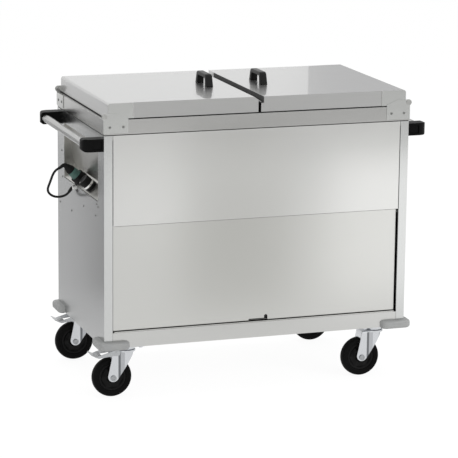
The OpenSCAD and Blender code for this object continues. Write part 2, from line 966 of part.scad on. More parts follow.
module castor_hub() {
  w = tyre_w/2 - 4;
  b = hub_w/2;
  translate([-trail, 0, wheel_z])
    rotate([90, 0, 0])
      rotate_extrude($fn = 96)
        polygon([
          [wheel_axle_d/2 + 0.06, -b], [13, -b], [15, -7], [hub_r - 9, -5], [hub_r - 6, -w],
          [hub_r, -w], [hub_r, w], [hub_r - 6, w], [hub_r - 9, 5], [15, 7], [13, b],
          [wheel_axle_d/2 + 0.06, b]
        ]);
}

// stirrup pedal outside the fork legs, with a cross tread over the tyre's rear
module brake_pedal() {
  y0 = leg_y + play;
  y1 = y0 + 2;
  side = [
    [10, -2], [7, 8], [-5, 9], [-62, -7], [-60, -14], [-10, -9], [0, -10], [8, -8]
  ];
  tread = [
    [-52, -11], [-58, -13], [-66, -11], [-81, -3], [-82, -1], [-80, -1], [-65, -8], [-50, -4]
  ];
  translate([pedal_x, 0, pedal_z]) {
    both_y()
      along_y(side, y0, y1);
    along_y(tread, -y1, y1);
    // rivets that turn in the legs
    both_y() {
      rod_y(3, leg_in + 0.2, y1);
      rod_y(4.5, y1, y1 + 1.2);
    }
  }
}

module castor_fork_fl() color("lightgray")
  at_castor(-1, -1)
    castor_fork();

module castor_fork_fr() color("lightgray")
  at_castor(1, -1)
    castor_fork();

module castor_fork_rl() color("lightgray")
  at_castor(-1, 1)
    castor_fork();

module castor_fork_rr() color("lightgray")
  at_castor(1, 1)
    castor_fork();

module castor_axle_fl() color("silver")
  at_castor(-1, -1)
    castor_axle();

module castor_axle_fr() color("silver")
  at_castor(1, -1)
    castor_axle();

module castor_axle_rl() color("silver")
  at_castor(-1, 1)
    castor_axle();

module castor_axle_rr() color("silver")
  at_castor(1, 1)
    castor_axle();

module castor_tyre_fl() color("#202020")
  at_castor(-1, -1)
    castor_tyre();

module castor_tyre_fr() color("#202020")
  at_castor(1, -1)
    castor_tyre();

module castor_tyre_rl() color("#202020")
  at_castor(-1, 1)
    castor_tyre();

module castor_tyre_rr() color("#202020")
  at_castor(1, 1)
    castor_tyre();

module castor_hub_fl() color("#303030")
  at_castor(-1, -1)
    castor_hub();

module castor_hub_fr() color("#303030")
  at_castor(1, -1)
    castor_hub();

module castor_hub_rl() color("#303030")
  at_castor(-1, 1)
    castor_hub();

module castor_hub_rr() color("#303030")
  at_castor(1, 1)
    castor_hub();

module brake_pedal_fl() color("lightgray")
  at_castor(-1, -1)
    brake_pedal();

module brake_pedal_rl() color("lightgray")
  at_castor(-1, 1)
    brake_pedal();

base_pan();
end_panel_left();
end_panel_right();
niche_pan();
back_panel();
front_panel();
top_frame();
well_left();
well_right();
heaters();
cupboard_ceiling();
cupboard_floor();
cupboard_liner();
door_rails();
hinge_plates();
hinge_pins();
screws();
handle_brackets();
handle_tubes();
corner_bumpers();
castor_plates();
thermostat();
parking_socket();
plug();
plug_grip();
cord();
cord_gland();
lid_seal();
door_axle();
door_glides();
door_panel();
door_liner();
lid_shell_left();
lid_inner_left();
lid_ears_left();
lid_handle_left();
lid_shell_right();
lid_inner_right();
lid_ears_right();
lid_handle_right();
castor_fork_fl();
castor_fork_fr();
castor_fork_rl();
castor_fork_rr();
castor_axle_fl();
castor_axle_fr();
castor_axle_rl();
castor_axle_rr();
castor_tyre_fl();
castor_tyre_fr();
castor_tyre_rl();
castor_tyre_rr();
castor_hub_fl();
castor_hub_fr();
castor_hub_rl();
castor_hub_rr();
brake_pedal_fl();
brake_pedal_rl();
knob();
knob_ring();
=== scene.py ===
import bmesh
import bpy
import numpy as np
from mathutils import Matrix, Vector


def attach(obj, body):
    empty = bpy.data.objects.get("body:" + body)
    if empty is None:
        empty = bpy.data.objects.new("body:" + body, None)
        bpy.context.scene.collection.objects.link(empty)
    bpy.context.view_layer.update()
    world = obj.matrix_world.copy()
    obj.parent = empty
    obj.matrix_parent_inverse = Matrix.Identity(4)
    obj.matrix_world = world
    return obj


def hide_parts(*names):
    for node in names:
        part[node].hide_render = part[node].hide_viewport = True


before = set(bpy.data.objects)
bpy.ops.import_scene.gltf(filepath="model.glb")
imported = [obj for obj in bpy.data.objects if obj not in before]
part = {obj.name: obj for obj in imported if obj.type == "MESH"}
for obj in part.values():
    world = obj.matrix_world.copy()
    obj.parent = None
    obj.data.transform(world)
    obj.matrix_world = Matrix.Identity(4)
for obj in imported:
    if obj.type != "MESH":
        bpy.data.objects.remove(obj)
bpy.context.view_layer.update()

# ---- The view ----
# A catalogue view with a long lens from the front left, a little above the lids, set up from the
# straight edges of the cabinet. Swing, dip and tilt are radians round, downwards and rolled.
swing, dip, tilt = 0.33025, 0.2206, 0.010231
focal_px, picture_px = 2377.38, 458.0
camera_at = (-2.41107, -7.02597, 2.11791)
forward = np.array([np.sin(swing) * np.cos(dip), np.cos(swing) * np.cos(dip), -np.sin(dip)])
level = np.array([np.cos(swing), -np.sin(swing), 0.0])
above = np.cross(level, forward)
right = level * np.cos(tilt) + above * np.sin(tilt)
up = above * np.cos(tilt) - level * np.sin(tilt)
lens = bpy.data.cameras.new("catalogue_lens")
lens.sensor_width = 36.0
lens.lens = lens.sensor_width * focal_px / picture_px
lens.clip_end = 60.0
camera = bpy.data.objects.new("catalogue_camera", lens)
bpy.context.scene.collection.objects.link(camera)
# The columns are the camera's right, up and backward, and its place.
turn = np.eye(4)
turn[:3, 0], turn[:3, 1], turn[:3, 2] = right, up, -forward
turn[:3, 3] = camera_at
camera.matrix_world = Matrix(turn.tolist())
bpy.context.scene.camera = camera
bpy.context.scene.view_settings.view_transform = "Standard"

# ---- The studio ----
# A white sweep and a white room, as a photographer sets up for bright metal. Cards, which only
# reflections see, give the front, the end walls and the lid fronts their darker and lighter tones.
def linear(code):
    """sRGB hex to linear RGBA: each channel c becomes ((c + 0.055)/1.055)^2.4, or c/12.92 near black."""
    c = np.array([int(code[i : i + 2], 16) for i in (1, 3, 5)]) / 255.0
    c = np.where(c <= 0.04045, c / 12.92, ((c + 0.055) / 1.055) ** 2.4)
    return (*c.tolist(), 1.0)


def add(tree, kind, **settings):
    """Adds a node. A setting is a property of the node, or a socket's name or number (n0, n1), and
    takes a value or another socket to link."""
    made = tree.nodes.new("ShaderNode" + kind)
    for key, value in settings.items():
        if key[0] == "n" and key[1:].isdigit():
            socket = made.inputs[int(key[1:])]
        elif key in made.bl_rna.properties:
            setattr(made, key, value)
            continue
        else:
            socket = made.inputs[key.replace("_", " ")]
        if isinstance(value, bpy.types.NodeSocket):
            tree.links.new(value, socket)
        else:
            socket.default_value = value
    return made


def blank(name):
    """An empty material and its node tree."""
    made = bpy.data.materials.new(name)
    made.use_nodes = True
    made.node_tree.nodes.clear()
    return made, made.node_tree


def mesh_piece(name, points, faces, smooth=True):
    """A linked mesh object from an array of points and a list of faces."""
    mesh = bpy.data.meshes.new(name)
    mesh.from_pydata(np.asarray(points, float).reshape(-1, 3).tolist(), [], [list(f) for f in faces])
    mesh.polygons.foreach_set("use_smooth", [smooth] * len(mesh.polygons))
    mesh.update()
    made = bpy.data.objects.new(name, mesh)
    bpy.context.scene.collection.objects.link(made)
    return made


def lens_rays(tree):
    """1 for rays that come from the lens straight, off a mirror or through glass, and 0 for the
    spread light that falls on the part."""
    ray = add(tree, "LightPath").outputs
    seen = add(tree, "Math", operation="ADD", n0=ray["Is Camera Ray"], n1=ray["Is Glossy Ray"])
    glass = ray["Is Transmission Ray"]
    return add(tree, "Math", operation="ADD", n0=seen.outputs[0], n1=glass, use_clamp=True).outputs[0]


# The room is white to the lens and dimmer as a light.
room_light, room_seen = 0.66, 1.0
world = bpy.data.worlds.new("white_room")
world.use_nodes = True
bpy.context.scene.world = world
room = world.node_tree
room.nodes.clear()
power = add(room, "Mix", Factor=lens_rays(room), n2=room_light, n3=room_seen)
glow = add(room, "Background", Color=(1, 1, 1, 1), Strength=power.outputs[0])
add(room, "OutputWorld", Surface=glow.outputs[0])

# The paper is mostly self-lit, and a little more so to the camera, so that it runs to white and
# keeps only a trace of the shadow.
floor_half, paper_lit, camera_lift = 9.0, 0.88, 0.05
floor_corners = np.array([(-1, -1, 0), (1, -1, 0), (1, 1, 0), (-1, 1, 0)]) * floor_half
sweep = mesh_piece("sweep", floor_corners, [(0, 1, 2, 3)])
paper, tree = blank("white_paper")
matt = add(tree, "BsdfDiffuse", Color=linear("#F7F7F7"))
to_camera = add(tree, "LightPath").outputs["Is Camera Ray"]
lift = add(tree, "Math", operation="MULTIPLY_ADD", n0=to_camera, n1=camera_lift, n2=1.0)
bright = add(tree, "Emission", Color=(1, 1, 1, 1), Strength=lift.outputs[0])
part_lit = add(tree, "Math", operation="MULTIPLY", n0=lens_rays(tree), n1=paper_lit)
mixed = add(tree, "MixShader", n0=part_lit.outputs[0], n1=matt.outputs[0], n2=bright.outputs[0])
add(tree, "OutputMaterial", Surface=mixed.outputs[0])
sweep.data.materials.append(paper)


def reflector(name, low, high, tone, strength=1.0):
    """A flat card of one tone between two opposite corners. Only mirror-like rays see it, so it
    colours reflections and throws no shadow."""
    low, high = np.array(low), np.array(high)
    across = np.zeros(3)
    first = np.flatnonzero(high - low)[0]
    across[first] = high[first] - low[first]
    card = mesh_piece(name, [low, low + across, high, high - across], [(0, 1, 2, 3)])
    board, tree = blank(name + "_tone")
    lit = add(tree, "Emission", Color=linear(tone), Strength=strength)
    add(tree, "OutputMaterial", Surface=lit.outputs[0])
    card.data.materials.append(board)
    card.visible_camera = card.visible_diffuse = card.visible_shadow = card.visible_transmission = False
    return card


# Each end wall mirrors a card laid beside it, and the left one a dark upright card. The front
# mirrors a pale upright card before its middle, a bright one before its right part and a bright
# patch of floor before its upper left, the lid fronts what lies further out, and the right end of
# the lids a card behind.
card_z = 0.004
left_card = reflector("left_card", (-2.6, 0.33, card_z), (-0.62, 4.6, card_z), "#CACACB")
right_card = reflector("right_card", (0.62, -0.2, card_z), (2.8, 4.6, card_z), "#CACACB")
side_card = reflector("side_card", (-0.9, 0.62, 0.0), (-0.9, 1.14, 0.9), "#6C6C6D")
front_card = reflector("front_card", (0.06, -1.2, 0.0), (0.46, -1.2, 0.6), "#E0E0DE")
glow_card = reflector("glow_card", (0.6, -1.2, 0.0), (1.2, -1.2, 0.56), "#FFFFFF", 1.3)
wash_card = reflector("wash_card", (0.3, -3.8, card_z), (0.95, -2.6, card_z), "#FFFFFF", 1.6)
far_card = reflector("far_card", (-3.5, -8.5, card_z), (5.5, -3.8, card_z), "#BFBFBE")
back_card = reflector("back_card", (1.4, 3.0, 1.0), (3.4, 3.0, 2.6), "#CCCCCD")

# Four softboxes aimed at the middle of the cabinet. Reflections see the cards and not the lamps.
lamp_aim = Vector((0, 0, 0.5))
for name, where, size, watts in (
    ("key", (3.0, -3.2, 1.9), 1.8, 60.0),
    ("fill", (-2.2, -4.0, 2.2), 2.2, 26.0),
    ("top", (0.2, 0.6, 3.6), 2.6, 45.0),
    ("back", (-1.0, 3.6, 2.6), 2.4, 22.0),
):
    lamp = bpy.data.lights.new(name + "_softbox", "AREA")
    lamp.size = size
    lamp.energy = watts
    box = bpy.data.objects.new(name + "_softbox", lamp)
    bpy.context.scene.collection.objects.link(box)
    box.location = where
    box.rotation_euler = (lamp_aim - Vector(where)).to_track_quat("-Z", "Y").to_euler()
    box.visible_glossy = False


# ---- Mains cord ----
# A heavy black rubber-sheathed lead, 7.5 mm thick and about 190 mm long, that loops from the
# boot of the parked plug round to the gland under the control niche.
def spline(steer, per=12):
    """Uniform cubic B-spline of the control points, sampled per times a span."""
    q = np.asarray(steer, float)
    t = np.linspace(0, 1, per, endpoint=False)[:, None]
    weights = [(1 - t) ** 3, 3 * t**3 - 6 * t**2 + 4, -3 * t**3 + 3 * t**2 + 3 * t + 1, t**3]
    spans = [sum(w * q[i + k] for k, w in enumerate(weights)) / 6 for i in range(len(q) - 3)]
    end = (q[-3] + 4 * q[-2] + q[-1]) / 6
    return np.vstack(spans + [end[None]])


def sweep_tube(line, radius, sides, ref=(0.6, 0.75, 0.3)):
    """Rings of a tube along the line: centre + radius (cos a u + sin a v), with u square to the
    heading and to ref. radius may vary along the line."""
    line = np.asarray(line, float)
    heading = np.gradient(line, axis=0)
    heading /= np.linalg.norm(heading, axis=1)[:, None]
    u = np.cross(np.asarray(ref, float), heading)
    u /= np.linalg.norm(u, axis=1)[:, None]
    v = np.cross(heading, u)
    a = np.linspace(0, 2 * np.pi, sides, endpoint=False)
    r = np.broadcast_to(np.asarray(radius, float), len(line))[:, None, None]
    spokes = np.cos(a)[None, :, None] * u[:, None] + np.sin(a)[None, :, None] * v[:, None]
    return line[:, None] + r * spokes


def grid_faces(rows, columns, wrap=True, caps=True):
    """Quads of a grid of rows by columns, closed round the columns, with an end face at both ends."""
    i, j = np.meshgrid(np.arange(rows - 1), np.arange(columns if wrap else columns - 1), indexing="ij")
    k = (j + 1) % columns
    quads = np.stack([i * columns + j, i * columns + k, (i + 1) * columns + k, (i + 1) * columns + j], -1)
    faces = quads.reshape(-1, 4).tolist()
    if caps:
        faces.append(list(range(columns))[::-1])
        faces.append(list(range((rows - 1) * columns, rows * columns)))
    return faces


def close(piece):
    """Merges the doubled points of poles and seams and turns every face outwards."""
    made = bmesh.new()
    made.from_mesh(piece.data)
    bmesh.ops.remove_doubles(made, verts=made.verts, dist=2e-6)
    bmesh.ops.recalc_face_normals(made, faces=made.faces)
    made.to_mesh(piece.data)
    made.free()
    return piece


plug_foot = np.array([-0.47725, 0.058, 0.631])
outward = np.array([-0.73083, 0.0, 0.68256])
tail_way = np.array([-0.87768, 0.09974, -0.46876])
gland_at = np.array([-0.495, 0.07, 0.603])
boot_way = np.array([-0.30036, 0.60072, -0.74089])
niche_edge = np.array([-0.495, 0.0, 0.612])
plug_l, nut_h, boot_l = 0.070, 0.007, 0.022
tail_start = plug_foot + outward * plug_l
cord_start = tail_start + tail_way * boot_l
boot_start = gland_at - np.array([nut_h, 0, 0])
cord_end = boot_start + boot_way * boot_l
# The loop's points, given in mm from the niche's lower edge.
loop = ((-72, 61, 40), (-79, 67, 11), (-85, 95, -21), (-61, 106, -44), (-33, 102, -45))
steer = [
    cord_start - tail_way * 0.009,
    cord_start,
    cord_start + tail_way * 0.009,
    *[niche_edge + np.array(point) / 1000 for point in loop],
    cord_end + boot_way * 0.012,
    cord_end,
    cord_end - boot_way * 0.012,
]
sheath_r, round_sides = 0.00372, 24
route = spline(steer, 12)
rings = sweep_tube(route, sheath_r, round_sides)
cord = mesh_piece("mains_cord", rings, grid_faces(len(route), round_sides))

# Natural rubber sheath: matt, faintly dusty, with the fine drag lines of extrusion.
rubber, tree = blank("extruded_rubber")
spot = add(tree, "TexCoord")
grain = add(tree, "TexNoise", Vector=spot.outputs["Object"], Scale=900.0, Detail=3.0)
dust = add(tree, "TexNoise", Vector=spot.outputs["Object"], Scale=60.0, Detail=4.0)
shade = add(tree, "ValToRGB", Fac=dust.outputs[0])
shade.color_ramp.elements[0].color = linear("#0F0F0F")
shade.color_ramp.elements[1].color = linear("#1B1B1A")
lift = add(tree, "Bump", Strength=0.25, Distance=0.0002, Height=grain.outputs[0])
body = add(
    tree, "BsdfPrincipled", Base_Color=shade.outputs[0], Roughness=0.62, Specular_IOR_Level=0.18,
    Normal=lift.outputs[0],
)
add(tree, "OutputMaterial", Surface=body.outputs[0])
cord.data.materials.append(rubber)
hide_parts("cord")
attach(cord, "cabinet")


# ---- Parked plug and its socket ----
# A moulded mains plug with a sea-green front and a black ribbed grip, pushed into a black dummy
# socket on the sloping panel. Its tail is a bent ribbed boot that hands over to the cord.
def turned(name, profile, steps, foot, axis, ref=(0.0, 1.0, 0.0), lobes=0, depth=0.0, band=(0, 0)):
    """Surface of revolution: foot + h axis + r (cos a u + sin a v) for a profile of (r, h) in mm.
    Between the heights of band, r is cut by depth (1 - |cos(lobes a / 2)|^0.5)."""
    p = np.asarray(profile, float) / 1000.0
    axis = np.asarray(axis, float)
    u = np.cross(np.asarray(ref, float), axis)
    u /= np.linalg.norm(u)
    v = np.cross(axis, u)
    a = np.linspace(0, 2 * np.pi, steps, endpoint=False)
    r = np.repeat(p[:, :1], steps, axis=1)
    if lobes:
        inside = (p[:, 1] * 1000 > band[0]) & (p[:, 1] * 1000 < band[1])
        wave = 1 - np.abs(np.cos(lobes * a / 2)) ** 0.5
        r = np.where(inside[:, None], r - depth / 1000 * wave[None], r)
    spokes = np.cos(a)[None, :, None] * u + np.sin(a)[None, :, None] * v
    points = foot + p[:, 1, None, None] * axis + r[..., None] * spokes
    caps = p[0, 0] > 1e-7 and p[-1, 0] > 1e-7 and not np.allclose(p[0], p[-1])
    return close(mesh_piece(name, points, grid_faces(len(p), steps, caps=caps)))


def eased(corners, radius=0.8, steps=4):
    """A profile through the corners with each inner corner rounded by a quadratic curve that
    starts and ends radius from it."""
    c = np.asarray(corners, float)
    line = [c[0]]
    for before, here, after in zip(c[:-2], c[1:-1], c[2:]):
        reach = [min(radius, np.linalg.norm(q - here) * 0.45) for q in (before, after)]
        a = here + (before - here) / np.linalg.norm(before - here) * reach[0]
        b = here + (after - here) / np.linalg.norm(after - here) * reach[1]
        t = np.linspace(0, 1, steps + 1)[:, None]
        line.extend((1 - t) ** 2 * a + 2 * t * (1 - t) * here + t**2 * b)
    line.append(c[-1])
    return np.array(line)


def moulded(name, dark, pale, rough, grit=0.35, gloss=0.14):
    """Moulded plastic: two near colours drifting over centimetres, with the fine spark-eroded
    grain of a tool, grit mm across. gloss is the specular level."""
    made, tree = blank(name)
    spot = add(tree, "TexCoord")
    drift = add(tree, "TexNoise", Vector=spot.outputs["Object"], Scale=18.0, Detail=5.0, Roughness=0.6)
    shade = add(tree, "ValToRGB", Fac=drift.outputs[0])
    shade.color_ramp.elements[0].position, shade.color_ramp.elements[1].position = 0.3, 0.7
    shade.color_ramp.elements[0].color = linear(dark)
    shade.color_ramp.elements[1].color = linear(pale)
    grain = add(tree, "TexNoise", Vector=spot.outputs["Object"], Scale=1000.0 / grit, Detail=2.0)
    lift = add(tree, "Bump", Strength=0.3, Distance=0.0001, Height=grain.outputs[0])
    spread = add(tree, "MapRange", n0=drift.outputs[0], n1=0.3, n2=0.7, n3=rough - 0.05, n4=rough + 0.06)
    body = add(
        tree, "BsdfPrincipled", Base_Color=shade.outputs[0], Roughness=spread.outputs[0],
        Specular_IOR_Level=gloss, Normal=lift.outputs[0],
    )
    add(tree, "OutputMaterial", Surface=body.outputs[0])
    return made


black_abs = moulded("moulded_black_abs", "#0C0C0C", "#141414", 0.42)
green_abs = moulded("moulded_green_abs", "#3F5C55", "#4A6A62", 0.38, gloss=0.3)


def place(piece, body, slot, material, *nodes):
    """Gives a new piece its finish, puts it on its body and lets it stand for the named CAD nodes."""
    piece.data.materials.append(material)
    if nodes:
        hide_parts(*nodes)
    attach(piece, body)
    return piece


front = eased(
    [(0, 3), (19.0, 3), (19.0, 17), (17.0, 20), (16.4, 28), (15.8, 28.6), (15.8, 30), (16.3, 30.6),
     (15.8, 38), (14.2, 41), (0, 41)], 0.9,
)
plug = place(
    turned("plug_front", front, 72, plug_foot, outward),
    "cabinet", "green_plastic", green_abs, "plug",
)
grip = eased(
    [(0, 41), (15.0, 41), (15.0, 48), (12.4, 55), (9.2, 64), (7.6, 68), (7.4, 71), (4.5, 73), (0, 73)], 1.6,
)
plug_grip = place(
    turned("plug_grip_body", grip, 96, plug_foot, outward, lobes=20, depth=1.1, band=(42.5, 60)),
    "cabinet", "black_plastic", black_abs, "plug_grip",
)


def ribbed_boot(name, steer, per, wide, taper, groove, ribs, plain):
    """A tube along the spline of the points, per steps a span. Its radius falls from wide by taper,
    and past the plain share t it loses groove wherever sin(2 pi ribs t) > 0.2."""
    line = spline(steer, per)
    t = np.linspace(0, 1, len(line))
    radius = wide - taper * t - groove * (np.sin(t * 2 * np.pi * ribs) > 0.2) * (t > plain)
    return close(mesh_piece(name, sweep_tube(line, radius, round_sides), grid_faces(len(line), round_sides)))


tail_steer = [
    tail_start - outward * 0.012, tail_start - outward * 0.004, tail_start + (outward + tail_way) * 0.003,
    tail_start + tail_way * 0.012, cord_start, cord_start + tail_way * 0.012,
]
tail = ribbed_boot("plug_tail", tail_steer, 16, 0.0070, 0.0024, 0.0006, 7, 0.25)
place(tail, "cabinet", "black_plastic", black_abs)
socket = eased(
    [(0, 2.6), (19.45, 2.6), (19.45, 20), (21.2, 20), (22.1, 19.2), (22.3, 4.6), (24, 3.8), (24, 0.05),
     (20.0, 0.05), (20.0, -18), (0, -18)], 0.7,
)
socket_shell = turned("parking_socket_shell", socket, 96, plug_foot, outward)
place(socket_shell, "cabinet", "black_plastic", black_abs, "parking_socket")


# ---- Cable gland ----
# A nickel-plated gland nut on the end wall with a short tapered rubber boot that bends the cord
# down and back; the locknut sits inside the wall.
def plated(name, tone, rough, speck=400.0):
    """Plated or polished metal: one tone, with roughness mottled at 1/speck m, as handling leaves it."""
    made, tree = blank(name)
    spot = add(tree, "TexCoord")
    mottle = add(tree, "TexNoise", Vector=spot.outputs["Object"], Scale=speck, Detail=4.0)
    spread = add(tree, "MapRange", n0=mottle.outputs[0], n1=0.3, n2=0.7, n3=rough * 0.9, n4=rough * 1.12)
    lift = add(tree, "Bump", Strength=0.02, Distance=0.0001, Height=mottle.outputs[0])
    body = add(
        tree, "BsdfPrincipled", Base_Color=linear(tone), Metallic=1.0, Roughness=spread.outputs[0],
        Normal=lift.outputs[0],
    )
    add(tree, "OutputMaterial", Surface=body.outputs[0])
    return made


chrome = plated("bright_chrome", "#D8D8D6", 0.12)
nut = eased(
    [(0, 0.05), (8.0, 0.05), (8.0, 3.4), (7.2, 3.6), (7.2, 4.0), (7.8, 4.2), (7.4, 7.0), (5.5, 8.2), (0, 8.2)],
    0.5,
)
place(
    turned("gland_nut", nut, 48, gland_at, (-1.0, 0, 0), lobes=12, depth=0.5, band=(4.1, 7.1)),
    "cabinet", "chrome", chrome, "cord_gland",
)
boot_steer = [
    boot_start + np.array([0.012, 0, 0]), boot_start + np.array([0.003, 0, 0]), boot_start + boot_way * 0.005,
    boot_start + boot_way * 0.014, cord_end, cord_end + boot_way * 0.008,
]
place(ribbed_boot("gland_boot", boot_steer, 14, 0.0062, 0.0016, 0.0005, 6, 0.2), "cabinet", "rubber", rubber)

# ---- Body sheet metal ----
# Folded 1.5 mm stainless sheet: a base pan, two wrapped end walls, back and front panels, and the
# one-piece frame with its deck, spot-welded together. The satin finish keeps its brushing lines.
def softener():
    """Shading of curved walls: faces smooth, and only edges that turn by more than sharp_turn
    radians kept sharp. The imported corner normals are dropped, since the merged mesh has its own."""
    sharp_turn = 0.62
    group = bpy.data.node_groups.new("smooth_curves", "GeometryNodeTree")
    for way in ("INPUT", "OUTPUT"):
        group.interface.new_socket("Geometry", in_out=way, socket_type="NodeSocketGeometry")
    make = group.nodes.new
    enter, leave = make("NodeGroupInput"), make("NodeGroupOutput")
    drop = make("GeometryNodeRemoveAttribute")
    drop.inputs["Name"].default_value = "custom_normal"
    faces, edges = make("GeometryNodeSetShadeSmooth"), make("GeometryNodeSetShadeSmooth")
    edges.domain = "EDGE"
    edges.inputs["Shade Smooth"].default_value = False
    bend, steep = make("GeometryNodeInputMeshEdgeAngle"), make("FunctionNodeCompare")
    steep.inputs[1].default_value = sharp_turn
    for a, b in (
        (enter.outputs[0], drop.inputs[0]),
        (drop.outputs[0], faces.inputs[0]),
        (faces.outputs[0], edges.inputs[0]),
        (bend.outputs[0], steep.inputs[0]),
        (steep.outputs[0], edges.inputs["Selection"]),
        (edges.outputs[0], leave.inputs[0]),
    ):
        group.links.new(a, b)
    return group


smooth_curves = softener()


def dress(names, finish, edge=0.0, merge=True):
    """Gives CAD nodes their finish. Doubled points are welded, flat triangles merged, edges rounded
    by edge mm and curved walls shaded smooth."""
    for name in names:
        node = part[name]
        node.data.materials.clear()
        node.data.materials.append(finish)
        weld = node.modifiers.new("weld", "WELD")
        weld.merge_threshold = 2e-6
        if merge:
            flat = node.modifiers.new("flat_faces", "DECIMATE")
            flat.decimate_type = "DISSOLVE"
            flat.angle_limit = 0.004
        if edge:
            fold = node.modifiers.new("edge_radius", "BEVEL")
            fold.width = edge / 1000.0
            fold.segments = 3
            fold.limit_method = "ANGLE"
            fold.angle_limit = 0.7
            fold.miter_outer = "MITER_ARC"
        node.modifiers.new("smooth_curves", "NODES").node_group = smooth_curves
        even = node.modifiers.new("even_normals", "WEIGHTED_NORMAL")
        even.keep_sharp = True


def brushed(name, tone, rough, lines, wave=0.04, scratch=0.015, coat=0.0):
    """Brushed stainless steel. lines is how many brushing lines a metre along X, Y and Z: low along
    the grain. The lines shift roughness and bump, and a slow wave of 0.2 m keeps big faces from
    being mirrors."""
    made, tree = blank(name)
    spot = add(tree, "TexCoord")
    stretch = add(tree, "Mapping", Vector=spot.outputs["Object"], Scale=lines)
    grain = add(tree, "TexNoise", Vector=stretch.outputs[0], Scale=1.0, Detail=3.0, Roughness=0.7)
    sag = add(tree, "TexNoise", Vector=spot.outputs["Object"], Scale=4.5, Detail=1.0)
    smear = add(tree, "TexNoise", Vector=spot.outputs["Object"], Scale=14.0, Detail=6.0, Roughness=0.65)
    spread = add(tree, "MapRange", n0=grain.outputs[0], n1=0.3, n2=0.7, n3=rough - 0.008, n4=rough + 0.01)
    wiped = add(tree, "MapRange", n0=smear.outputs[0], n1=0.35, n2=0.65, n3=-0.005, n4=0.007)
    total = add(tree, "Math", operation="ADD", n0=spread.outputs[0], n1=wiped.outputs[0])
    shade = add(tree, "ValToRGB", Fac=grain.outputs[0])
    shade.color_ramp.elements[0].position, shade.color_ramp.elements[1].position = 0.25, 0.75
    low, high = np.array(linear(tone)), np.array(linear(tone))
    low[:3] *= 0.992
    high[:3] = np.minimum(high[:3] * 1.005, 0.98)
    shade.color_ramp.elements[0].color, shade.color_ramp.elements[1].color = low, high
    wavy = add(tree, "Bump", Strength=wave, Distance=0.004, Height=sag.outputs[0])
    lined = add(
        tree, "Bump", Strength=scratch, Distance=0.0002, Height=grain.outputs[0], Normal=wavy.outputs[0],
    )
    body = add(
        tree, "BsdfPrincipled", Base_Color=shade.outputs[0], Metallic=1.0, Roughness=total.outputs[0],
        Coat_Weight=coat, Coat_IOR=1.8, Coat_Roughness=0.04, Normal=lined.outputs[0],
    )
    add(tree, "OutputMaterial", Surface=body.outputs[0])
    return made


# Satin stainless, brushed along the trolley at about one visible line a millimetre.
satin_front = brushed("satin_stainless_along", "#D3D3D1", 0.25, (5.0, 900.0, 900.0))
# The deep-drawn frame has the same grain, and its tone is set a little darker.
satin_frame = brushed("satin_stainless_frame", "#BDBDBB", 0.22, (5.0, 900.0, 900.0))
# The same sheet on the end walls, where the grain runs front to back.
satin_end = brushed("satin_stainless_across", "#CACBCA", 0.22, (900.0, 5.0, 900.0))
# Mill-finish sheet inside: greyer and duller, without brushing lines.
mill_sheet = brushed("mill_stainless", "#B9BAB9", 0.38, (120.0, 120.0, 120.0), 0.10, 0.03)
# The base pan with the front rail is the same sheet, rubbed duller by use and cleaning.
satin_base = brushed("satin_stainless_base", "#C7C7C5", 0.25, (5.0, 900.0, 900.0))
dress(["base_pan"], satin_base, 0.55)
dress(["front_panel"], satin_front, 0.55)
dress(["end_panel_left", "end_panel_right"], satin_end, 0.5)
dress(["back_panel"], satin_front, 0.4)
dress(["top_frame"], satin_frame, 0.55)

# ---- Wells and their heaters ----
# Two deep-drawn basins welded under the deck, bright inside from drawing, each with a bent
# heating rod of oxidised nickel alloy clipped close under its floor.
drawn_steel = brushed("drawn_stainless", "#CFCFCD", 0.16, (60.0, 60.0, 60.0), 0.10, 0.03)
heater_alloy = plated("oxidised_heater_alloy", "#4B463F", 0.42)
dress(["well_left", "well_right"], drawn_steel, 0.0)
dress(["heaters"], heater_alloy, 0.0, merge=False)

# ---- Cupboard ----
# A box of mill-finish sheet behind the door, with two folded channels high on its side walls
# in which the door's rollers run back.
dress(["cupboard_ceiling", "cupboard_floor", "cupboard_liner", "door_rails"], mill_sheet, 0.3)

# ---- Pocket door ----
# A shallow pan of satin sheet closed by an inner skin. It hangs on a through axle with a nylon
# roller at each end, swings up and pushes back under the wells.
# Painted shade: the door's steel is set a little darker than the front panel's, for the door set back under
# it.
door_steel_painted_shade = brushed("stainless_door_painted_shade", "#CACAC7", 0.25, (5.0, 900.0, 900.0))
dress(["door_panel"], door_steel_painted_shade, 0.45)
dress(["door_liner"], mill_sheet, 0.2)
# Painted shade: a black that stands for the dark hollow of the door seen through its finger notch.
notch_shade_black = moulded("notch_painted_shade_black", "#141414", "#1C1C1C", 0.7)
dress(["door_axle"], plated("ground_steel_rod", "#B5B6B6", 0.25), 0.3)
dress(["door_glides"], moulded("moulded_natural_nylon", "#D9D6C9", "#E4E1D6", 0.45, gloss=0.4), 0.4)

# ---- Lids ----
# Two double-walled folding lids of bright-annealed sheet with their corners welded and dressed,
# screwed to ears that turn on the corner pins; a black sealing strip lies on the deck under them.
bright_sheet = brushed("bright_annealed_stainless", "#B4B4B3", 0.36, (6.0, 700.0, 700.0), 0.04, 0.01, 0.8)
ear_sheet = brushed("linished_stainless", "#C6C7C5", 0.24, (250.0, 250.0, 250.0), 0.05, 0.02)
# Flat triangles stay unmerged here, since merging closes the open underside of the left shell.
dress(["lid_shell_left", "lid_shell_right"], bright_sheet, 0.5, merge=False)
dress(["lid_inner_left", "lid_inner_right"], drawn_steel, 0.0, merge=False)
dress(["lid_ears_left", "lid_ears_right"], ear_sheet, 0.3)
# This black is the lid seal's own rubber and also paints the shade beside the front panel and in the groove.
seal_and_shade_black = moulded("seal_and_painted_shade_black", "#1B1B1B", "#242424", 0.6)
dress(["lid_seal"], seal_and_shade_black, 0.0)


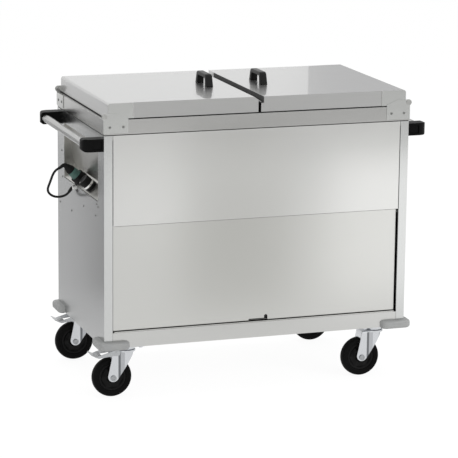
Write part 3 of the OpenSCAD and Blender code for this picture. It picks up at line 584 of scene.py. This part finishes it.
def bar(name, low, high):
    """A plain strip between two opposite corners in mm."""
    x, y, z = np.meshgrid(*zip(low, high), indexing="ij")
    points = np.stack([x, y, z], -1).reshape(-1, 3) / 1000.0
    sides = [(0, 1, 3, 2), (4, 6, 7, 5), (0, 4, 5, 1), (2, 3, 7, 6), (0, 2, 6, 4), (1, 5, 7, 3)]
    return close(mesh_piece(name, points, sides, False))


# The lip that the left lid's slope closes against, glued in the step of the right lid.
# This grey is the lip's own rubber and also paints the shade line under the front panel.
lip_and_shade_grey = moulded("grey_lip_and_painted_shade", "#3E3E3E", "#4A4A4A", 0.5)
lip = bar("meeting_lip", (13.0, -270.0, 905.6), (13.98, 215.0, 924.4))
place(lip, "lid_right", "rubber", lip_and_shade_grey)
# Painted shade: dark strips in the slots beside and under the fixed front panel.
for x0, x1 in ((-467.8, -466.2), (466.2, 467.8)):
    side_shade_bar = bar("panel_side_shadow", (x0, -271.4, 548.0), (x1, -262.0, 811.0))
    place(side_shade_bar, "cabinet", "rubber", seal_and_shade_black)
low_shade_bar = bar("panel_low_shadow", (-463.0, -271.6, 546.1), (463.0, -263.0, 546.98))
place(low_shade_bar, "cabinet", "rubber", lip_and_shade_grey)
# A steel strip fills half the slot under the door.
threshold = bar("threshold_strip", (-462.0, -268.0, 213.05), (462.0, -258.6, 215.3))
place(threshold, "cabinet", "stainless", satin_front)
# Painted shade: a black pad inside the door behind its finger notch.
place(bar("notch_shadow_pad", (-40.0, -258.8, 219.4), (52.0, -250.5, 236.0)), "door", "rubber", notch_shade_black)
# A dark cord in the groove under the raised frame: painted shade for the groove.
groove_low, groove_high = 826.6, 828.9
for name, x, y in (
    ("groove_shadow_front", (-494.0, 494.0), (-271.6, -270.8)),
    ("groove_shadow_rear", (-494.0, 494.0), (270.8, 271.6)),
    ("groove_shadow_left", (-494.1, -493.3), (-271.6, 271.6)),
    ("groove_shadow_right", (493.3, 494.1), (-271.6, 271.6)),
):
    shadow_cord = bar(name, (x[0], y[0], groove_low), (x[1], y[1], groove_high))
    place(shadow_cord, "cabinet", "rubber", seal_and_shade_black)


def bow(name, middle, foot):
    """A lid handle: a superellipse section, |x/w|^5 + |h/t|^5 = 1, carried from one foot over the
    bar to the other between an outer and an inner outline, each a trapezium with curved corners.
    It tapers from 24 mm wide at the feet to 22 on top."""
    def outline(half, top_half, height, radius, start):
        corner = np.array([top_half, height])
        lean = np.array([half - top_half, start - height])
        lean = lean / np.linalg.norm(lean)
        half_turn = np.arccos(np.clip(-lean[0], -1, 1)) / 2
        reach = radius / np.tan(half_turn)
        a, b = corner + lean * reach, corner - np.array([reach, 0])
        pull = np.linspace(0, 1, 15)[:, None]
        arc = (1 - pull) ** 2 * a + 2 * pull * (1 - pull) * corner + pull**2 * b
        side = np.array([half, start]) + np.linspace(0, 1, 12)[:-1, None] * (a - np.array([half, start]))
        top = b + np.linspace(0, 1, 10)[1:, None] * (np.array([0, height]) - b)
        right_half = np.vstack([side, arc, top])
        return np.vstack([right_half, right_half[-2::-1] * (-1, 1)])

    def squarish(value):
        return np.sign(value) * np.abs(value) ** 0.4

    outer, inner = outline(57, 47, 38, 13, 0), outline(37, 32, 25, 8, 0)
    centre, reach = (outer + inner) / 2, (outer - inner) / 2
    a = np.linspace(0, 2 * np.pi, 40, endpoint=False)
    wide = 12 - centre[:, 1] / 34.0
    yz = centre[:, None] + reach[:, None] * squarish(np.cos(a))[None, :, None]
    x = wide[:, None] * squarish(np.sin(a))[None]
    points = np.stack([x + middle, yz[..., 0], yz[..., 1] + foot], -1) / 1000.0
    return close(mesh_piece(name, points, grid_faces(len(outer), 40)))


# Glass-filled nylon grips: near black, satin on top where hands polish them.
grip_nylon = moulded("moulded_grip_nylon", "#0E0E0E", "#171717", 0.36, 0.3, 0.2)
bow_x, bow_foot = 90.0, 925.02
place(bow("lid_bow_left", -bow_x, bow_foot), "lid_left", "black_plastic", grip_nylon, "lid_handle_left")
place(bow("lid_bow_right", bow_x, bow_foot), "lid_right", "black_plastic", grip_nylon, "lid_handle_right")

# ---- Hinge plates, pins and screws ----
# Plates cut from thin sheet hold a flanged pin at each corner. They and the inner fittings are
# fixed with pan-head screws, whose heads show their cross recesses.
dress(["hinge_plates"], ear_sheet, 0.3)
dress(["hinge_pins"], plated("turned_stainless", "#C2C2C0", 0.2), 0.5)


def pan_heads(name, places, axis, radius, height):
    """Screw heads: a low dome of revolution with a flat-floored recess, whose radius is
    0.52 R (0.34 + 0.66 |cos 2a|^4), a rounded cross."""
    axis = np.asarray(axis, float)
    u = np.cross(axis, (0.31, 0.2, 0.93))
    u /= np.linalg.norm(u)
    v = np.cross(axis, u)
    a = np.linspace(0, 2 * np.pi, 32, endpoint=False)
    cross = 0.52 * radius * (0.34 + 0.66 * np.abs(np.cos(2 * a)) ** 4)
    full = np.ones_like(a) * radius
    rows = [(cross * 0, 0.35), (cross * 0.8, 0.35), (cross, 0.92), (cross * 1.06 + 0.05, 0.985)]
    rows += [(cross * (1 - t) + full * t * 0.995, 1 - 0.42 * t**3) for t in (0.35, 0.6, 0.8, 0.92)]
    rows += [(full, 0.45), (full, 0.02), (full * 0, 0.02)]
    r = np.array([q[0] for q in rows])
    h = np.array([q[1] for q in rows])[:, None] * height
    one = (r * np.cos(a))[..., None] * u + (r * np.sin(a))[..., None] * v + (h + r * 0)[..., None] * axis
    faces, n = grid_faces(len(rows), 32, caps=False), one.size // 3
    points = np.asarray(places, float)[:, None, None] / 1000.0 + one[None] / 1000.0
    made = [[k + n * i for k in f] for i in range(len(places)) for f in faces]
    return close(mesh_piece(name, points, made))


# Painted shade: the stainless heads are set much darker than the sheet round them, so they read as dark spots.
screw_steel_painted_dark = plated("screw_heads_painted_shade", "#828381", 0.30)
head_z, wall_z = 852.5, 826.5
corner_x = [side * (495 - inset) for side in (-1, 1) for inset in (18, 60)]
side_y = [272.5 - inset for inset in (20, 58)]
left_wall = (
    (220, -132), (211, -216), (-190, -224), (244, -305), (102, -305), (-40, -261), (-180, -262), (-204, -231),
)
right_wall = ((220, -305), (75, -305), (-75, -305), (-220, -305), (220, -120), (-220, -120))
for name, places, axis, radius, height in (
    ("screws_front", [(x, -274.5, head_z) for x in corner_x], (0, -1, 0), 4.0, 1.6),
    ("screws_rear", [(x, 274.5, head_z) for x in corner_x], (0, 1, 0), 4.0, 1.6),
    ("screws_side_left", [(-497, y, head_z) for y in side_y], (-1, 0, 0), 4.0, 1.6),
    ("screws_side_right", [(497, y, head_z) for y in side_y], (1, 0, 0), 4.0, 1.6),
    ("screws_wall_left", [(-495, y, wall_z + drop) for y, drop in left_wall], (-1, 0, 0), 3.5, 1.4),
    ("screws_wall_right", [(495, y, wall_z + drop) for y, drop in right_wall], (1, 0, 0), 3.5, 1.4),
):
    heads = pan_heads(name, places, axis, radius, height)
    place(heads, "cabinet", "stainless_bright", screw_steel_painted_dark, "screws")

# ---- Push handles ----
# A bright 25 mm tube along each end, held in the cups of two moulded black brackets that are
# fixed to the corners.
tube_steel = plated("polished_stainless_tube", "#B2B2B1", 0.26, 250.0)
bracket_abs = moulded("moulded_bracket_abs", "#070707", "#0D0D0D", 0.40, gloss=0.07)
dress(["handle_brackets"], bracket_abs, 1.0)
dress(["handle_tubes"], tube_steel, 0.3)

# ---- Corner bumpers ----
# Grey vinyl guards with rounded ends wrapped round the foot of each corner, slightly chalky.
bumper_vinyl = moulded("moulded_grey_vinyl", "#969797", "#A0A1A0", 0.50, 0.5, 0.3)
dress(["corner_bumpers"], bumper_vinyl, 0.0)

# ---- Control niche ----
# A pressed pan let into the left end wall, its upper face left bright so that it mirrors the
# knob and plug; the thermostat sits behind the sloping panel.
niche_sheet = brushed("bright_niche_sheet", "#B9B8B4", 0.30, (300.0, 8.0, 300.0), 0.04, 0.02)
dress(["niche_pan"], niche_sheet, 0.4)
dress(["thermostat"], moulded("moulded_phenolic", "#202020", "#2D2C2B", 0.5), 0.4)

knob_foot = np.array([-0.47725, -0.07, 0.631])
skirt = eased([(0, 0.45), (19.4, 0.45), (19.4, 8.6), (18.4, 11), (0, 11)], 0.8)
place(turned("knob_skirt", skirt, 72, knob_foot, outward), "knob", "black_plastic", black_abs, "knob")
cap = eased(
    [(0, 18), (18.4, 18), (18.4, 19.6), (18.4, 35.4), (16.4, 37.9), (12, 38), (10.5, 36.9), (0, 36.7)], 1.0,
)
place(
    turned("knob_cap", cap, 216, knob_foot, outward, lobes=18, depth=1.5, band=(19.8, 37.95)),
    "knob", "black_plastic", black_abs,
)
ring = eased(
    [(16.6, 11.1), (19.9, 11.1), (20.45, 11.7), (20.45, 17.3), (19.9, 17.9), (16.6, 17.9), (16.6, 11.1)], 0.4,
)
place(turned("knob_bright_ring", ring, 96, knob_foot, outward), "knob", "chrome", chrome, "knob_ring")

# A white pointer line moulded flush into the rim and face of the cap.
side_way = np.array([0.0, 1.0, 0.0])
upward = np.cross(side_way, outward)
white_ink = moulded("filled_white_line", "#DAD9D4", "#E6E5E0", 0.5)
rim = np.array([(10.8, 37.15), (12.2, 38.02), (15.6, 37.96), (16.5, 37.4)])
t = np.linspace(-0.9, 0.9, 5)
climb = rim[:, 0, None, None] * -upward + (rim[:, 1] + 0.02)[:, None, None] * outward
strip = knob_foot + (climb + t[None, :, None] * side_way) / 1000
pointer = mesh_piece("knob_pointer", strip, grid_faces(4, 5, wrap=False, caps=False))
thick = pointer.modifiers.new("line_depth", "SOLIDIFY")
thick.thickness = 0.0004
thick.offset = 0.0
place(pointer, "knob", "grey_plastic", white_ink)

# ---- Castors ----
# Four swivel castors with zinc-plated pressings: a plate on bolts, a fork that wraps round the
# wheel, a through axle, a black hub and a solid tyre. The two on the left have a stirrup brake.
zinc = plated("bright_zinc_plate", "#CFD1D4", 0.22, 160.0)
zinc_dull = plated("dull_zinc_plate", "#A9ABAD", 0.34, 160.0)
# Painted shade on the fork: a dark band, then a grey one, where the flat leg turns into the curved front.
fork_painted_shade = plated("fork_zinc_painted_shade", "#75777A", 0.36, 160.0)
fork_painted_half_shade = plated("fork_zinc_painted_half_shade", "#B4B6B9", 0.30, 160.0)
tyre_rubber = moulded("moulded_tyre_rubber", "#090909", "#0F0F0F", 0.62, 0.8, 0.07)
hub_nylon = moulded("moulded_black_hub", "#0C0C0C", "#141414", 0.45, gloss=0.12)
dress(["castor_plates"], zinc, 0.5)


king_x, king_y, trail, wheel_r = 412, 222, 46, 62.5


def wrapped_fork(name, sx, sy):
    """The fork skin, in mm. Its plan runs down one leg, round the half ellipse x = -30 + 54 sin t,
    y = 24.5 cos t, and back; each column rises from the side outline's lower edge to its upper
    edge, turns in over a 5 mm radius and runs on to the middle line. Solidify gives the sheet."""
    foot_x, foot_r, foot_z = -trail, 17, 67.5
    nose_x, nose_l, half = -30, 54, 24.5
    heel_z, top_z, bend_r = 71.5, 143.5, 5
    t = np.linspace(0, np.pi, 49)
    heel = foot_x - foot_r * np.cos(np.linspace(0.03, np.pi / 2, 16))
    leg = np.concatenate([heel, np.linspace(-45, -30.4, 10)])
    plan_x = np.concatenate([leg, nose_x + nose_l * np.sin(t), leg[::-1]])
    plan_y = np.concatenate([leg * 0 + half, half * np.cos(t), leg * 0 - half])
    round_foot = foot_z - np.sqrt(np.clip(foot_r**2 - (plan_x - foot_x) ** 2, 0, None))
    front_rake = 136.5 + (plan_x - 24) * 75 / 53
    low = np.where(plan_x < -32.5, round_foot, front_rake)
    rear_rake = heel_z + (plan_x + 62.5) * 77 / 16.5
    high = np.clip(rear_rake, heel_z, top_z)
    on_top = np.clip((plan_x + 53) / 4, 0, 1)
    rise = np.linspace(0, 1, 18)
    wall_z = low[None] + (high - low)[None] * rise[:, None]
    wall = np.stack([wall_z * 0 + plan_x, wall_z * 0 + plan_y, wall_z], -1)
    nx = np.concatenate([leg * 0, np.sin(t) / nose_l, leg * 0])
    ny = np.concatenate([leg * 0 + 1, np.cos(t) / half, leg * 0 - 1])
    size = np.hypot(nx, ny)
    nx, ny = nx / size, ny / size
    phi = np.linspace(0.15, np.pi / 2, 7)[:, None]
    inset = bend_r * (1 - np.cos(phi)) * on_top
    rounded = np.stack([plan_x - nx * inset, plan_y - ny * inset, high + bend_r * np.sin(phi) * on_top], -1)
    rim = rounded[-1]
    spine = np.stack([np.clip(plan_x, -60, -4), plan_y * 0, rim[:, 2]], -1)
    far = np.where(on_top[:, None] > 0, spine, rim)
    top = rim + (far - rim) * np.linspace(0, 1, 5)[1:, None, None]
    grid = np.concatenate([wall, rounded, top]) + (sx * king_x, sy * king_y, 0)
    piece = mesh_piece(name, grid / 1000.0, grid_faces(*grid.shape[:2], wrap=False, caps=False))
    # Faces below the top take the painted shade bands by their distance along the trolley from the kingpin.
    middle = np.array([f.center for f in piece.data.polygons]) * 1000
    along, below_top = middle[:, 0] - sx * king_x, middle[:, 2] < 144.5
    shade_bands = np.where(below_top & (along > -31) & (along < -23.5), 1, 0)
    shade_bands = np.where(below_top & (along >= -23.5) & (along < -9), 2, shade_bands)
    for finish in (zinc, fork_painted_shade, fork_painted_half_shade):
        piece.data.materials.append(finish)
    piece.data.polygons.foreach_set("material_index", shade_bands.astype(int).tolist())
    made = bmesh.new()
    made.from_mesh(piece.data)
    bmesh.ops.remove_doubles(made, verts=made.verts, dist=2e-5)
    bmesh.ops.dissolve_degenerate(made, edges=made.edges, dist=1e-6)
    bmesh.ops.recalc_face_normals(made, faces=made.faces)
    if sum(f.normal.z * f.calc_area() for f in made.faces) < 0:
        bmesh.ops.reverse_faces(made, faces=made.faces)
    made.to_mesh(piece.data)
    made.free()
    sheet = piece.modifiers.new("sheet_3mm", "SOLIDIFY")
    sheet.thickness = 0.003
    sheet.offset = -1.0
    trim = piece.modifiers.new("blanked_edge", "BEVEL")
    trim.width, trim.segments, trim.limit_method, trim.angle_limit = 0.0005, 2, "ANGLE", 1.0
    piece.modifiers.new("smooth_curves", "NODES").node_group = smooth_curves
    piece.modifiers.new("even_normals", "WEIGHTED_NORMAL").keep_sharp = True
    return piece


def wheel_hub(name, centre, pockets=6, steps=120):
    """Both faces of the hub are fields over the disc: depth(r, a) falls from the boss to a web with
    pockets, deepest mid-way between ribs by (0.5 - 0.5 cos(pockets a))^0.6, and rises to the rim."""
    bore, boss, web = [(6.1, 0), (6.1, 20), (12.4, 20), (13.2, 19.2)], [(15, 13.5), (17, 9), (19, 8.2)], 8
    floor = [(radius, web) for radius in (21.5, 24, 27, 30)] + [(32.5, 8.2), (34.5, 9), (36, 10)]
    rim = [(37.5, 11.4), (38.6, 12), (42.2, 12), (42.95, 11.2), (42.95, 0)]
    r, base = np.array(bore + boss + floor + rim).T
    a = np.linspace(0, 2 * np.pi, steps, endpoint=False)
    inside = np.clip((r - 17.5) / 2.5, 0, 1) * np.clip((35.5 - r) / 2.5, 0, 1)
    pocket = inside[:, None] * (0.5 - 0.5 * np.cos(pockets * a)) ** 0.6
    depth = base[:, None] - 3.0 * pocket
    near = np.stack([r[:, None] * np.cos(a), -depth, r[:, None] * np.sin(a)], -1)
    far = near[::-1] * (1, -1, 1)
    grid = np.concatenate([near[1:], far[1:-1]]) / 1000.0 + centre
    faces = grid_faces(len(grid), steps, caps=False)
    wrap = np.arange(steps)
    last = (len(grid) - 1) * steps
    faces += np.stack([last + wrap, last + (wrap + 1) % steps, (wrap + 1) % steps, wrap], -1).tolist()
    return close(mesh_piece(name, grid, faces))


# Half of the tyre's section and half of the bolt, mirrored about the wheel's middle.
tyre_half = [
    (43.1, -12.8), (45.5, -13.6), (48.5, -14.6), (49.4, -14.1), (50.6, -14.1), (51.6, -15.2), (54.5, -15.9),
    (58.4, -14.6), (61.3, -10.4), (62.45, -5),
]
tyre_line = eased(tyre_half + [(r, -h) for r, h in tyre_half[::-1]] + tyre_half[:1], 1.6)
bolt_half = [(0, -28.0), (3.9, -28.0), (4.6, -29.6), (8.0, -29.7), (8.9, -28.8), (8.9, -25.2), (5.9, -25.0)]
bolt = eased(bolt_half + [(r, -h) for r, h in bolt_half[::-1]], 0.5)
race = eased(
    [(6.2, 142.2), (29.2, 142.2), (29.95, 143.2), (29.95, 147.6), (29.2, 148.4), (6.2, 148.4), (6.2, 142.2)],
    0.8,
)
along_x, along_y, along_z = (1.0, 0, 0), (0, 1.0, 0), (0, 0, 1.0)
for key, sx, sy in (("fl", -1, -1), ("fr", 1, -1), ("rl", -1, 1), ("rr", 1, 1)):
    king = np.array([sx * king_x, sy * king_y, 0]) / 1000
    centre = king + np.array([-trail, 0, wheel_r]) / 1000
    fork = wrapped_fork("fork_skin_" + key, sx, sy)
    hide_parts("castor_fork_" + key)
    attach(fork, "swivel_" + key)
    place(turned("fork_race_" + key, race, 72, king, along_z), "swivel_" + key, "zinc", zinc)
    axle_bolt = turned("axle_bolt_" + key, bolt, 48, centre, along_y, along_x)
    place(axle_bolt, "swivel_" + key, "zinc", zinc_dull, "castor_axle_" + key)
    tyre = turned("tyre_tread_" + key, tyre_line, 128, centre, along_y, along_x)
    place(tyre, "wheel_" + key, "tyre", tyre_rubber, "castor_tyre_" + key)
    hub = wheel_hub("wheel_hub_" + key, centre)
    place(hub, "wheel_" + key, "black_plastic", hub_nylon, "castor_hub_" + key)
# The pedals' zinc is set a little darker than the fork's.
dress(["brake_pedal_fl", "brake_pedal_rl"], plated("darker_zinc_pedal", "#B4B6B8", 0.28, 160.0), 0.35)
